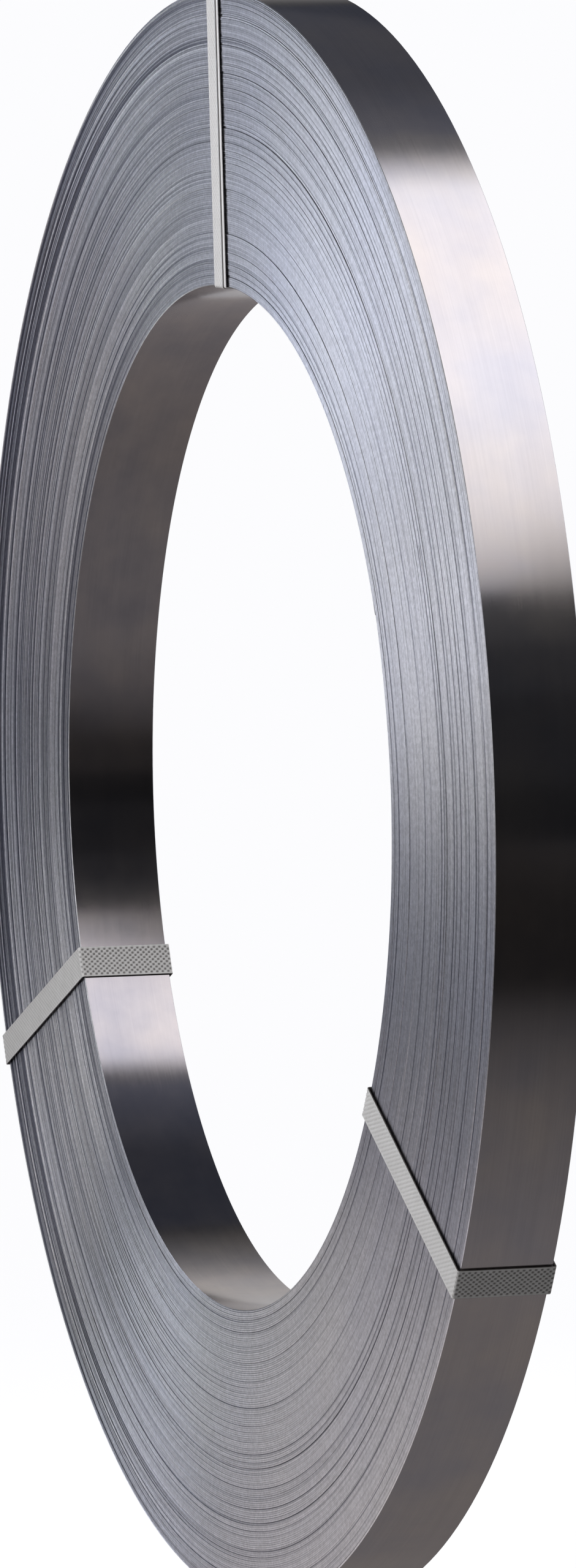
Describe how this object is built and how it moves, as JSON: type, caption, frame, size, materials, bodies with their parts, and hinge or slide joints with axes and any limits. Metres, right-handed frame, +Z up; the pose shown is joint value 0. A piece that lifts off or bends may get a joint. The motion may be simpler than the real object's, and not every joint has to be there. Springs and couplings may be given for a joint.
{
  "type": "steel coil",
  "caption": "Wound ring of narrow cold-rolled steel strip standing on its rim, with a wide bore, tied by embossed plastic straps through the bore.",
  "frame": {"origin": "On the floor under the middle of the coil, which stands on its rim; the bore's axis passes 399.1 mm above it.", "axes": "+Z up; the coil's axis lies along Y and its front end, without the strap welds, faces -Y; +X is to the right seen from the front."},
  "size_m": [0.7993, 0.0503, 0.7994],
  "materials": {
    "strip_steel": "cold-rolled satin strip, fine turn edges on both ends",
    "strap_plastic": "light grey embossed polyester strap"
  },
  "bodies": {
    "root": {"strip_coil": "strip_steel", "strap_top": "strap_plastic", "strap_left": "strap_plastic", "strap_right": "strap_plastic"}
  },
  "joints": []
}
